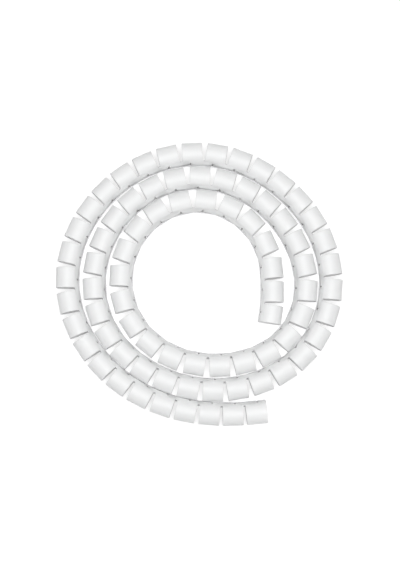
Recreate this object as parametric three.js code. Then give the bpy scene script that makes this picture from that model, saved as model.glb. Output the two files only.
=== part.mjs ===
// Spiral cable wrap: two metres of split and slotted plastic tube, laid in a loose flat spiral.
//
// It is one moulded piece. The tube is slit along its whole length, on the side that faces the
// middle of the spiral. Deep slots run round its back, from above the slit to below it, and part
// the tube into rings. Two strips join the rings. The upper one is a narrow spine, with a lip
// that short notches cut between the slots. The lower one is whole, and stands out a little
// towards its edge. Every ring is straight: the tube bends at its slots only, and they open into
// wedges towards the outside of the spiral.
//
// Millimetres, +Z up. The origin is on the floor, under the middle of the spiral.
// A section's angle is 0 at the top of the tube and grows towards the outside of the spiral.

import * as THREE from 'three';
import { mergeGeometries, mergeVertices } from 'three/addons/utils/BufferGeometryUtils.js';

// The tube's section. The rings start at this angle, where the upper spine ends. The edge of the
// lower strip is turned out of the round by the lean, about the end of the rings.
const TUBE_DIAMETER = 25;
const WALL = 1.2;
const RING_START = -48.5;
const SPINE_WIDTH = 18;
const SLIT_WIDTH = 5;
const LOWER_LEAN = 7.5;
const RING_FACETS = 10;
const LIP_FACETS = 2;
const LOWER_FACETS = 3;

// Lengths along the spines. The notches come the notch shift further on than the slots, and the
// wrap is cut off anywhere, so that its last ring is shorter.
const WRAP_LENGTH = 1958;
const RING_PITCH = 24.82;
const NOTCH_SHIFT = 10.3;
const SLOT_WIDTH = 2;

// The spiral. Its radii are the tube's distance from the middle of the spiral, one for each
// twelfth of a turn travelled from the outer end, and the route runs smoothly between them.
const OUTER_END_ANGLE = 296.5;
const RADIUS_STEP = 30;
const SPIRAL_RADII = [
  193.5, 152.5, 140, 140.5, 146, 153.5, 149.5, 147.5, 145, 138, 139.5, 142,
  136.5, 123.5, 115.5, 114.5, 120.5, 122.5, 121, 121, 118.5, 111.5, 110.5, 114.5,
  111, 96, 88.5, 88, 90.5, 92.5, 94.5, 95, 92.5, 85.5, 79.5, 73, 84.5, 102,
];
const ROUTE_SAMPLES = 6000;

const radians = THREE.MathUtils.degToRad;
const tubeRadius = TUBE_DIAMETER / 2;

// The rings' facets are as wide as it takes for one of them to lie level on the floor. The slit is
// opposite the middle of the rings, and both sides of it are alike.
const facetAngle = (180 - RING_START) / (RING_FACETS - 1.5);
const ringEnd = RING_START + facetAngle * RING_FACETS;
const slitMiddle = (RING_START + ringEnd + 360) / 2;
const upperLipRoot = RING_START - SPINE_WIDTH;
const upperLipTip = slitMiddle - 360 + SLIT_WIDTH / 2;
const lowerEdgeAngle = slitMiddle - SLIT_WIDTH / 2;

// A flat facet lies inside a round wall. Corners this far out put the facets half in, half out.
const facetDepth = Math.cos(radians(facetAngle / 2));
const cornerRadius = (2 * tubeRadius) / (1 + facetDepth);
const middleHeight = cornerRadius * facetDepth;

// Distance from the middle of the spiral after an angle of travel, as a uniform cubic B-spline.
function spiralRadius(travel) {
  const last = SPIRAL_RADII.length - 4;
  const k = Math.min(Math.floor(travel / RADIUS_STEP), last);
  const t = travel / RADIUS_STEP - k;
  const weights = [
    (1 - t) ** 3,
    3 * t ** 3 - 6 * t ** 2 + 4,
    -3 * t ** 3 + 3 * t ** 2 + 3 * t + 1,
    t ** 3,
  ];
  return weights.reduce((sum, weight, i) => sum + (weight * SPIRAL_RADII[k + i]) / 6, 0);
}

// The tube's centreline. It runs clockwise from the outer to the inner end, seen from above.
const fullTravel = (SPIRAL_RADII.length - 3) * RADIUS_STEP;

class SpiralRoute extends THREE.Curve {
  getPoint(t, target = new THREE.Vector3()) {
    const angle = radians(OUTER_END_ANGLE - t * fullTravel);
    const radius = spiralRadius(t * fullTravel);
    return target.set(radius * Math.cos(angle), radius * Math.sin(angle), middleHeight);
  }
}

// A station on the route: the tube's middle, its direction of travel and its outward side.
const route = new SpiralRoute();

function stationAt(t) {
  const forward = route.getTangent(t);
  return { middle: route.getPoint(t), forward, outward: new THREE.Vector3(-forward.y, forward.x, 0) };
}

// Lengths are measured along the spines, which keep their length when the tube is coiled.
const spineOffset = tubeRadius * Math.sin(radians(RING_START - SPINE_WIDTH / 2));
const spineLengths = [0];
let lastSpot = null;
for (let i = 0; i <= ROUTE_SAMPLES; i += 1) {
  const { middle, outward } = stationAt(i / ROUTE_SAMPLES);
  const spot = middle.addScaledVector(outward, spineOffset);
  if (lastSpot) spineLengths.push(spineLengths[i - 1] + spot.distanceTo(lastSpot));
  lastSpot = spot;
}

function stationAtLength(length) {
  let low = 0;
  let high = ROUTE_SAMPLES;
  while (high - low > 1) {
    const half = (low + high) >> 1;
    if (spineLengths[half] > length) high = half;
    else low = half;
  }
  const share = (length - spineLengths[low]) / (spineLengths[high] - spineLengths[low]);
  return stationAt((low + share) / ROUTE_SAMPLES);
}

// A row is all the rings, or all the stretches of the upper lip. It may start ahead of the outer
// end, and its first and last stretch are then parts of one. Every slot and notch takes half its
// width from the stretches on both of its sides. A stretch is straight: it has the one frame of
// its middle, moved half way to its chord.
const halfSlot = SLOT_WIDTH / 2;

function makeRow(ahead, from, to, facets) {
  const stretches = [];
  for (let start = -ahead; start < WRAP_LENGTH - SLOT_WIDTH; start += RING_PITCH) {
    const near = Math.max(start, 0) + halfSlot;
    const far = Math.min(start + RING_PITCH, WRAP_LENGTH) - halfSlot;
    const frame = stationAtLength((near + far) / 2);
    const chord = stationAtLength(near).middle.add(stationAtLength(far).middle);
    frame.middle.lerp(chord.multiplyScalar(0.5), 0.5);
    stretches.push({ near, far, frame });
  }
  return { stretches, from, to, facets };
}

const rings = makeRow(0, RING_START, ringEnd, RING_FACETS);
const upperLip = makeRow(RING_PITCH - NOTCH_SHIFT, upperLipTip, upperLipRoot, LIP_FACETS);
const lowerEdge = { stretches: rings.stretches, from: lowerEdgeAngle };

// A point on a stretch: how far along the spines, the angle round the tube, the share of the wall.
// Past the end of the rings the wall leans out more and more.
function wallPoint({ near, far, frame }, length, angle, wallShare) {
  const turn = radians(angle);
  const across = new THREE.Vector2(Math.sin(turn), Math.cos(turn));
  across.multiplyScalar(cornerRadius - WALL * (1 - wallShare));
  const root = radians(ringEnd);
  const hinge = new THREE.Vector2(Math.sin(root), Math.cos(root)).multiplyScalar(cornerRadius);
  const lean = LOWER_LEAN * Math.max(0, (angle - ringEnd) / (lowerEdgeAngle - ringEnd));
  across.rotateAround(hinge, radians(lean));
  const point = frame.middle.clone();
  point.addScaledVector(frame.forward, length - (near + far) / 2);
  point.addScaledVector(frame.outward, across.x);
  point.z += across.y;
  return point;
}

// A flat bar bent to its place. Its x runs round the tube, its y through the wall and its z
// along the spines, each from 0 to 1. Faces that open says yes to are left out.
function bentBar(stepsRound, stepsAlong, place, open) {
  const bar = new THREE.BoxGeometry(1, 1, 1, stepsRound, 1, stepsAlong);
  bar.translate(0.5, 0.5, 0.5);
  const flat = bar.attributes.position.clone();
  const kept = [];
  for (let i = 0; i < bar.index.count; i += 3) {
    const corners = [0, 1, 2].map((j) => bar.index.getX(i + j));
    const middle = new THREE.Vector3();
    corners.forEach((c) => middle.add(new THREE.Vector3().fromBufferAttribute(flat, c)));
    if (!open(middle.divideScalar(3))) kept.push(...corners);
  }
  bar.setIndex(kept);
  for (let i = 0; i < flat.count; i += 1) {
    const point = place(flat.getX(i), flat.getY(i), flat.getZ(i));
    bar.attributes.position.setXYZ(i, point.x, point.y, point.z);
  }
  bar.deleteAttribute('normal');
  bar.deleteAttribute('uv');
  bar.clearGroups();
  return bar;
}

// A stretch is open where it grows out of a strip: a ring at both of its ends, a lip at its root.
function stretchBar(row, stretch) {
  return bentBar(
    row.facets,
    1,
    (x, y, z) => {
      const length = THREE.MathUtils.lerp(stretch.near, stretch.far, z);
      return wallPoint(stretch, length, THREE.MathUtils.lerp(row.from, row.to, x), y);
    },
    ({ x }) => (x < 1e-6 && row !== upperLip) || x > 1 - 1e-6,
  );
}

// Each edge of a strip stops at the slots or notches of its own row, and both have as many stops.
function rowStops(row, count) {
  const stops = row.stretches.flatMap((stretch) => [
    { stretch, length: stretch.near },
    { stretch, length: stretch.far },
  ]);
  while (stops.length < count) stops.push(stops[stops.length - 1]);
  return stops;
}

// A strip runs round the tube from the end of one row to the start of the other. Its edges are
// open where a ring or a lip grows, and closed at every slot and notch.
function stripBar(lowRow, highRow, facets) {
  const count = 2 * Math.max(lowRow.stretches.length, highRow.stretches.length);
  const lowStops = rowStops(lowRow, count);
  const highStops = rowStops(highRow, count);
  const steps = count - 1;
  return bentBar(
    facets,
    steps,
    (x, y, z) => {
      const { stretch, length } = (x < 0.5 ? lowStops : highStops)[Math.round(z * steps)];
      return wallPoint(stretch, length, THREE.MathUtils.lerp(lowRow.to, highRow.from, x), y);
    },
    ({ x, z }) =>
      (x < 1e-6 || (x > 1 - 1e-6 && highRow !== lowerEdge)) && Math.floor(z * steps) % 2 === 0,
  );
}

const bars = [stripBar(upperLip, rings, 1), stripBar(rings, lowerEdge, LOWER_FACETS)];
for (const row of [rings, upperLip]) {
  bars.push(...row.stretches.map((stretch) => stretchBar(row, stretch)));
}

// The bars meet corner to corner, so welding their corners makes the one closed body.
const geometry = mergeVertices(mergeGeometries(bars), 1e-3);
const welded = [];
for (let i = 0; i < geometry.index.count; i += 3) {
  const corners = [0, 1, 2].map((j) => geometry.index.getX(i + j));
  if (new Set(corners).size === 3) welded.push(...corners);
}
geometry.setIndex(welded);
geometry.computeVertexNormals();

const material = new THREE.MeshStandardMaterial({
  color: 0xf2f2ef,
  roughness: 0.35,
  metalness: 0,
});
const spiralWrap = new THREE.Mesh(geometry, material);
spiralWrap.name = 'spiral_wrap';

// The origin goes under the middle of the spiral's outline.
geometry.computeBoundingBox();
const outline = geometry.boundingBox.getCenter(new THREE.Vector3());
spiralWrap.position.set(-outline.x, -outline.y, 0);

const part = new THREE.Group();
part.add(spiralWrap);

export default part;
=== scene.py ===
"""Spiral cable wrap in a loose flat coil: its looks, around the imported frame. Metres, +Z up."""

import math

import bmesh
import bpy
import numpy as np
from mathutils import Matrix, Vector


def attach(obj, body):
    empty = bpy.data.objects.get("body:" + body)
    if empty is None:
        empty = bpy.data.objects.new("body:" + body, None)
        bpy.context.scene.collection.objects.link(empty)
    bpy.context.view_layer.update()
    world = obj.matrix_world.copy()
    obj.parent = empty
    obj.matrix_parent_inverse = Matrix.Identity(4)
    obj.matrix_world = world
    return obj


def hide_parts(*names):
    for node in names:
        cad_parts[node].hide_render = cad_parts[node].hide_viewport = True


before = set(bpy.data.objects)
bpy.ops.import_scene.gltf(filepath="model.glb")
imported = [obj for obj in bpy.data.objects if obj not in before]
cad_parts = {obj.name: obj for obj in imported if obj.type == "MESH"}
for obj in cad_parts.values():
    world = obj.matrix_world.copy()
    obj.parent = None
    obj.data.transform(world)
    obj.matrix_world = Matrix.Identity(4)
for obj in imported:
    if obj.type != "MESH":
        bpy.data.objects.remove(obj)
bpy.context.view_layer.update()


# Camera. It looks down on the coil, a few degrees off the vertical on the near side, so the
# far side of the coil is at the top of the picture. The picture's height is the long side.
PICTURE_HEIGHT = 570
METRES_PER_PIXEL = 0.001106
VIEW_ELEVATION = math.radians(85)
VIEW_DISTANCE = 1.6
VIEW_CENTRE = Vector((0.0007, -0.0021, 0.0125))
SENSOR_LENGTH = 36

camera_data = bpy.data.cameras.new("camera")
camera_data.sensor_width = SENSOR_LENGTH
camera_data.lens = SENSOR_LENGTH * VIEW_DISTANCE / (PICTURE_HEIGHT * METRES_PER_PIXEL)
camera = bpy.data.objects.new("camera", camera_data)
towards_camera = Vector((0, -math.cos(VIEW_ELEVATION), math.sin(VIEW_ELEVATION)))
camera.location = VIEW_CENTRE + VIEW_DISTANCE * towards_camera
camera.rotation_euler = (math.pi / 2 - VIEW_ELEVATION, 0, 0)
bpy.context.scene.collection.objects.link(camera)
bpy.context.scene.camera = camera


# Shader maths. A Value is a socket that Python's arithmetic works on: each sum or product adds
# one Math node. A Finish is the node tree of one material.
class Value:
    def __init__(self, finish, socket):
        self.finish = finish
        self.socket = socket

    def combine(self, operation, first, second):
        node = self.finish.add("ShaderNodeMath", {"operation": operation}, {0: first, 1: second})
        return self.finish.value(node)

    def __add__(self, other):
        return self.combine("ADD", self, other)

    def __radd__(self, other):
        return self.combine("ADD", other, self)

    def __sub__(self, other):
        return self.combine("SUBTRACT", self, other)

    def __rsub__(self, other):
        return self.combine("SUBTRACT", other, self)

    def __mul__(self, other):
        return self.combine("MULTIPLY", self, other)

    def __rmul__(self, other):
        return self.combine("MULTIPLY", other, self)


class Finish:
    def __init__(self, name):
        self.material = bpy.data.materials.new(name)
        self.material.use_nodes = True
        self.tree = self.material.node_tree
        self.tree.nodes.clear()

    def add(self, kind, settings, inputs):
        """A node of that kind. Its settings come first, then its sockets' values or links."""
        node = self.tree.nodes.new(kind)
        for name, setting in settings.items():
            setattr(node, name, setting)
        for name, given in inputs.items():
            if isinstance(given, Value):
                self.tree.links.new(given.socket, node.inputs[name])
            else:
                node.inputs[name].default_value = given
        return node

    def value(self, node, output=0):
        return Value(self, node.outputs[output])

    def source(self, kind, settings, output):
        """The output of a node that has no inputs to fill."""
        return self.value(self.add(kind, settings, {}), output)

    def noise(self, place, stretch, detail):
        """Noise from 0 to 1 on a place stretched by so many waves a metre along each axis."""
        mapping = self.add("ShaderNodeMapping", {}, {"Vector": place, "Scale": stretch})
        sockets = {"Vector": self.value(mapping), "Scale": 1.0, "Detail": detail}
        return self.value(self.add("ShaderNodeTexNoise", {}, sockets), "Fac")

    def blend(self, share, first, second):
        """A colour between two others."""
        node = self.add("ShaderNodeMix", {"data_type": "RGBA"}, {0: share, 6: first, 7: second})
        return self.value(node, 2)

    def surface(self, sockets):
        """Ends the tree in one Principled shader with these sockets."""
        shader = self.add("ShaderNodeBsdfPrincipled", {}, sockets)
        self.add("ShaderNodeOutputMaterial", {}, {"Surface": self.value(shader)})
        return self.material


# Studio. The coil lies on a plain white table, lit from below so that it stays white, under one
# large soft light hung three metres above its middle. The room around it is dim and white.
TABLE_WIDTH = 16.0
TABLE_WHITE = (0.5, 0.5, 0.5, 1)
TABLE_GLOW = 0.56
ROOM_WHITE = (1, 1, 1, 1)
ROOM_STRENGTH = 0.05
LIGHT_WIDTH = 1.6
LIGHT_PLACE = Vector((0.04, -0.06, 3.0))
LIGHT_POWER = 102

table_mesh = bpy.data.meshes.new("table")
half_table = TABLE_WIDTH / 2
table_corners = [(-half_table, -half_table, 0), (half_table, -half_table, 0)]
table_corners += [(half_table, half_table, 0), (-half_table, half_table, 0)]
table_mesh.from_pydata(table_corners, [], [(0, 1, 2, 3)])
table_finish = Finish("table_white")
table_sockets = {"Base Color": TABLE_WHITE, "Roughness": 0.9}
table_sockets |= {"Emission Color": ROOM_WHITE, "Emission Strength": TABLE_GLOW}
table_mesh.materials.append(table_finish.surface(table_sockets))
table = bpy.data.objects.new("table", table_mesh)
bpy.context.scene.collection.objects.link(table)

light_data = bpy.data.lights.new("soft_light", "AREA")
light_data.shape = "SQUARE"
light_data.size = LIGHT_WIDTH
light_data.energy = LIGHT_POWER
light = bpy.data.objects.new("soft_light", light_data)
light.location = LIGHT_PLACE
light.rotation_euler = (-LIGHT_PLACE).to_track_quat("-Z", "Y").to_euler()
bpy.context.scene.collection.objects.link(light)

room = bpy.data.worlds.new("room")
room.use_nodes = True
room.node_tree.nodes["Background"].inputs["Color"].default_value = ROOM_WHITE
room.node_tree.nodes["Background"].inputs["Strength"].default_value = ROOM_STRENGTH
bpy.context.scene.world = room
bpy.context.scene.view_settings.view_transform = "Standard"


# Spiral wrap. Two metres of extruded white plastic tube, all one piece. It is slit along its inner
# side and sawn from its back into rings, which two strips beside the slit still join. The upper
# strip has a notched lip, and the lower one stands out a little. Coiled by hand, it keeps its shape.
TUBE_DIAMETER = 0.025
WALL = 0.0012
RING_START = -48.5
RING_END = 220.3
SPINE_WIDTH = 18
SLIT_WIDTH = 5
LOWER_LEAN = 7.5
WRAP_LENGTH = 1.958
RING_PITCH = 0.02482
NOTCH_SHIFT = 0.0103
SLOT_WIDTH = 0.002
OUTER_END_ANGLE = 296.5
RADIUS_STEP = 30
SPIRAL_RADII = 0.001 * np.array([
    193.5, 152.5, 140, 140.5, 146, 153.5, 149.5, 147.5, 145, 138, 139.5, 142,
    136.5, 123.5, 115.5, 114.5, 120.5, 122.5, 121, 121, 118.5, 111.5, 110.5, 114.5,
    111, 96, 88.5, 88, 90.5, 92.5, 94.5, 95, 92.5, 85.5, 79.5, 73, 84.5, 102,
])
ROUTE_SAMPLES = 6001
STEPS_ROUND_RING = 44
STEPS_ROUND_LIP = 4
STEPS_ACROSS_SPINE = 4
STEPS_ACROSS_LOWER = 8
EDGE_ROUNDING = 0.00022
SKIN_DARK = (0.79, 0.795, 0.8, 1)
SKIN_LIGHT = (0.84, 0.845, 0.84, 1)
# Inside faces are painted darker than the skin: painted shade in the tube's bore.
INSIDE_PAINTED_SHADE = (0.75, 0.75, 0.75, 1)
# Cut faces are painted darker still: painted shade on the slot and notch edges.
CUT_PAINTED_SHADE = (0.64, 0.64, 0.65, 1)
ROUGHNESS = 0.5

# Angles round the tube grow from its top towards the outside of the spiral.
tube_radius = TUBE_DIAMETER / 2
slit_middle = (RING_START + RING_END + 360) / 2
upper_lip_root = RING_START - SPINE_WIDTH
upper_lip_tip = slit_middle - 360 + SLIT_WIDTH / 2
lower_edge_angle = slit_middle - SLIT_WIDTH / 2


def spiral_radius(travel):
    """Distance from the spiral's middle after an angle of travel: a uniform cubic B-spline of
    the radii above, which lie one step of travel apart."""
    knot = np.minimum(travel // RADIUS_STEP, len(SPIRAL_RADII) - 4).astype(int)
    t = travel / RADIUS_STEP - knot
    weights = ((1 - t) ** 3, 3 * t**3 - 6 * t**2 + 4, -3 * t**3 + 3 * t**2 + 3 * t + 1, t**3)
    return sum(weight * SPIRAL_RADII[knot + i] for i, weight in enumerate(weights)) / 6


# The route is sampled once, and every length along the spines is looked up in the samples.
full_travel = (len(SPIRAL_RADII) - 3) * RADIUS_STEP
route_travel = np.linspace(0, full_travel, ROUTE_SAMPLES)
route_angle = np.radians(OUTER_END_ANGLE - route_travel)
route_circle = np.stack([np.cos(route_angle), np.sin(route_angle)], axis=1)
route_middle = spiral_radius(route_travel)[:, None] * route_circle
route_heading = np.gradient(route_middle, axis=0)
route_heading /= np.linalg.norm(route_heading, axis=1)[:, None]
route_outward = np.stack([-route_heading[:, 1], route_heading[:, 0]], axis=1)
spine_offset = tube_radius * math.sin(math.radians(RING_START - SPINE_WIDTH / 2))
spine_steps = np.linalg.norm(np.diff(route_middle + spine_offset * route_outward, axis=0), axis=1)
route_length = np.concatenate([[0], np.cumsum(spine_steps)])


def along_route(samples, length):
    """The route's samples at lengths along the spines."""
    return np.stack([np.interp(length, route_length, column) for column in samples.T], axis=-1)


class Row:
    """All the rings, or all the stretches of the lip: where each begins and ends along the spines,
    and the frame of its middle, half way between the curved route and the stretch's chord."""

    def __init__(self, ahead, start, stop):
        self.start, self.stop = start, stop
        begins = np.arange(-ahead, WRAP_LENGTH - SLOT_WIDTH, RING_PITCH)
        self.near = np.maximum(begins, 0) + SLOT_WIDTH / 2
        self.far = np.minimum(begins + RING_PITCH, WRAP_LENGTH) - SLOT_WIDTH / 2
        self.halfway = (self.near + self.far) / 2
        ends = along_route(route_middle, self.near) + along_route(route_middle, self.far)
        self.middle = along_route(route_middle, self.halfway) / 2 + ends / 4
        self.outward = along_route(route_outward, self.halfway)
        self.outward /= np.linalg.norm(self.outward, axis=1)[:, None]
        self.heading = np.stack([self.outward[:, 1], -self.outward[:, 0]], axis=1)

    def place(self, stretch, length, angle, depth):
        """Points on stretches: middle + (length - halfway) * heading + out * outward, up by up,
        with (out, up) the circle's point at that angle and depth. Past the end of the rings it is
        turned about that end by a lean that grows from nothing to its full size at the edge."""
        turn, root = np.radians(angle), math.radians(RING_END)
        beyond = np.maximum(0, (angle - RING_END) / (lower_edge_angle - RING_END))
        lean = math.radians(LOWER_LEAN) * beyond
        hinge_out, hinge_up = tube_radius * math.sin(root), tube_radius * math.cos(root)
        out = (tube_radius - depth) * np.sin(turn) - hinge_out
        up = (tube_radius - depth) * np.cos(turn) - hinge_up
        leaned_out = out * np.cos(lean) - up * np.sin(lean) + hinge_out
        leaned_up = out * np.sin(lean) + up * np.cos(lean) + hinge_up
        ahead = length - self.halfway[stretch]
        flat = self.middle[stretch] + ahead[..., None] * self.heading[stretch]
        flat = flat + leaned_out[..., None] * self.outward[stretch]
        return np.concatenate([flat, (tube_radius + leaned_up)[..., None]], axis=-1)


rings = Row(0, RING_START, RING_END)
upper_lip = Row(RING_PITCH - NOTCH_SHIFT, upper_lip_tip, upper_lip_root)
lower_edge = Row(0, lower_edge_angle, lower_edge_angle)


def carried_profile(first_point, stations, corners):
    """Faces of a closed profile of so many corners carried through so many stations."""
    station, corner = np.meshgrid(np.arange(stations - 1), np.arange(corners), indexing="ij")
    here = first_point + station * corners + corner
    there = first_point + station * corners + (corner + 1) % corners
    return np.stack([here, there, there + corners, here + corners], axis=-1).reshape(-1, 4)


# The three kinds of face. The cut ones are rougher than the rest, and the cut and inside faces are
# painted darker, as painted shade.
OUTSIDE, CUT, INSIDE = 0, 1, 2


class Wall:
    """Gathers the points, surface lengths and faces of the wrap's wall, and each face's kind."""

    def __init__(self):
        self.points, self.lengths, self.faces, self.kinds = [], [], [], []
        self.count = 0

    def add(self, points, lengths, faces, kinds):
        self.points.append(points.reshape(-1, 3))
        self.lengths.append(lengths.reshape(-1, 2))
        self.faces.append(faces)
        self.kinds.append(kinds)
        self.count += points.size // 3


wall = Wall()


def add_stretches(row, steps, has_tip):
    """Each stretch is the wall's section, a flat rectangle, carried round the tube. It is left open
    where a strip goes on from it, and one with a tip is closed where it starts."""
    stretches = np.arange(len(row.near))[:, None, None]
    angles = np.linspace(row.start, row.stop, steps + 1)[None, :, None]
    at_end = np.array([0, 1, 1, 0])[None, None, :]
    depth = WALL * np.array([0, 0, 1, 1])[None, None, :]
    stretches, angles, at_end, depth = np.broadcast_arrays(stretches, angles, at_end, depth)
    length = np.where(at_end == 1, row.far[stretches], row.near[stretches])
    points = row.place(stretches, length, angles, depth)
    lengths = np.stack([length, np.radians(angles) * tube_radius], axis=-1)
    first_points = wall.count + np.arange(len(row.near)) * (steps + 1) * 4
    faces = [carried_profile(first, steps + 1, 4) for first in first_points]
    kinds = [np.tile([OUTSIDE, CUT, INSIDE, CUT], steps * len(row.near))]
    if has_tip:
        faces.append(first_points[:, None] + np.arange(4))
        kinds.append(np.full(len(first_points), CUT))
    wall.add(points, lengths, np.concatenate(faces), np.concatenate(kinds))


def add_strip(low, high, steps, is_edge_whole):
    """A strip has a rung at every slot's or notch's edge. Rung for rung it runs from the end of the
    low row to the start of the high one, and its points are a blend of what the two rows give
    there. Its own edges are closed at the slots and notches, or all along where it is whole."""
    rungs = 2 * max(len(low.near), len(high.near))
    across = np.linspace(0, 1, steps + 1)
    across = np.concatenate([across, across[::-1]])[None, :]
    depth = WALL * (np.arange(across.size) > steps)[None, :]
    angle = low.stop + across * (high.start - low.stop)
    stops, stretches = [], []
    for row in (low, high):
        row_stops = np.stack([row.near, row.far], axis=1).ravel()
        stops.append(np.pad(row_stops, (0, rungs - len(row_stops)), mode="edge")[:, None])
        stretches.append(np.minimum(np.arange(rungs) // 2, len(row.near) - 1)[:, None])
    length = stops[0] * (1 - across) + stops[1] * across
    length, angle, depth, across = np.broadcast_arrays(length, angle, depth, across)
    from_low = low.place(np.broadcast_to(stretches[0], length.shape), length, angle, depth)
    from_high = high.place(np.broadcast_to(stretches[1], length.shape), length, angle, depth)
    points = from_low * (1 - across[..., None]) + from_high * across[..., None]
    lengths = np.stack([length, np.radians(angle) * tube_radius], axis=-1)
    corners = across.shape[1]
    faces = carried_profile(wall.count, rungs, corners).reshape(rungs - 1, corners, 4)
    kinds = np.array([OUTSIDE] * steps + [CUT] + [INSIDE] * steps + [CUT])
    is_slot = np.arange(rungs - 1) % 2 == 1
    kept = (kinds != CUT)[None, :] | is_slot[:, None]
    kept[:, steps] |= is_edge_whole
    kinds = np.broadcast_to(kinds, kept.shape)[kept]
    ring = np.arange(steps)
    cap = np.stack([ring, ring + 1, corners - 2 - ring, corners - 1 - ring], axis=-1)
    caps = [wall.count + cap, wall.count + (rungs - 1) * corners + cap]
    kinds = np.concatenate([kinds, np.full(2 * len(cap), CUT)])
    wall.add(points, lengths, np.concatenate([faces[kept], *caps]), kinds)


add_stretches(rings, STEPS_ROUND_RING, False)
add_stretches(upper_lip, STEPS_ROUND_LIP, True)
add_strip(upper_lip, rings, STEPS_ACROSS_SPINE, False)
add_strip(rings, lower_edge, STEPS_ACROSS_LOWER, True)

wrap_points = np.concatenate(wall.points)
outline_middle = (wrap_points.min(axis=0) + wrap_points.max(axis=0)) / 2
wrap_points[:, :2] -= outline_middle[:2]
wrap_faces = np.concatenate(wall.faces)

wrap_mesh = bpy.data.meshes.new("spiral_wrap_wall")
wrap_mesh.from_pydata(wrap_points.tolist(), [], wrap_faces.tolist())
wrap_mesh.uv_layers.new(name="along_and_round")
corner_lengths = np.concatenate(wall.lengths)[wrap_faces.ravel()]
wrap_mesh.uv_layers["along_and_round"].uv.foreach_set("vector", corner_lengths.ravel())
face_kinds = np.concatenate(wall.kinds)
# The cut and inside masks carry the painted shade; the cut one also makes its faces rougher.
for name, kind in (("cut", CUT), ("inside", INSIDE)):
    wrap_mesh.attributes.new(name, "FLOAT", "FACE")
    wrap_mesh.attributes[name].data.foreach_set("value", (face_kinds == kind).astype(float))

# The stretches and the strips meet point to point, so merging doubles makes one closed wall.
weld = bmesh.new()
weld.from_mesh(wrap_mesh)
bmesh.ops.remove_doubles(weld, verts=weld.verts, dist=1e-6)
bmesh.ops.recalc_face_normals(weld, faces=weld.faces)
weld.to_mesh(wrap_mesh)
weld.free()
wrap_mesh.shade_smooth()
wrap = bpy.data.objects.new("slotted_wrap", wrap_mesh)
bpy.context.scene.collection.objects.link(wrap)

edges = wrap.modifiers.new("rounded_edges", "BEVEL")
edges.width = EDGE_ROUNDING
edges.segments = 2
edges.limit_method = "ANGLE"
edges.angle_limit = math.radians(40)
edges.harden_normals = True

# White polyethylene: milky, with a soft sheen, drawn out in faint lines along the tube.
wrap_finish = Finish("white_polyethylene")
surface_place = wrap_finish.source("ShaderNodeUVMap", {"uv_map": "along_and_round"}, "UV")
object_place = wrap_finish.source("ShaderNodeTexCoord", {}, "Object")
cut_face = wrap_finish.source("ShaderNodeAttribute", {"attribute_name": "cut"}, "Fac")
inside_face = wrap_finish.source("ShaderNodeAttribute", {"attribute_name": "inside"}, "Fac")
draw_lines = wrap_finish.noise(surface_place, (9, 1400, 1), 3.0)
clouds = wrap_finish.noise(object_place, (55, 55, 55), 3.0)
grain = wrap_finish.noise(object_place, (1500, 1500, 1500), 2.0)
tone = clouds * 0.7 + draw_lines * 0.3
skin = wrap_finish.blend(tone, SKIN_DARK, SKIN_LIGHT)
# Painted shade: the inside faces are darkened by the inside colour.
skin_with_painted_inside_shade = wrap_finish.blend(inside_face, skin, INSIDE_PAINTED_SHADE)
# Painted shade: the cut faces are darkened by the cut colour, over the plastic's own white.
plastic_white_and_painted_shade = wrap_finish.blend(cut_face, skin_with_painted_inside_shade, CUT_PAINTED_SHADE)
roughness = ROUGHNESS + clouds * 0.08 + grain * 0.04 + cut_face * 0.2
relief = draw_lines * 0.7 + grain * 0.3
bump_sockets = {"Height": relief, "Strength": 0.25, "Distance": 0.00004}
relief_normal = wrap_finish.value(wrap_finish.add("ShaderNodeBump", {}, bump_sockets))
wrap_sockets = {
    "Base Color": plastic_white_and_painted_shade,
    "Roughness": roughness,
    "Normal": relief_normal,
    "IOR": 1.5,
    "Subsurface Weight": 1.0,
    "Subsurface Radius": (1, 1, 1),
    "Subsurface Scale": 0.0015,
}
wrap_mesh.materials.append(wrap_finish.surface(wrap_sockets))

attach(wrap, "root")
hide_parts("spiral_wrap")
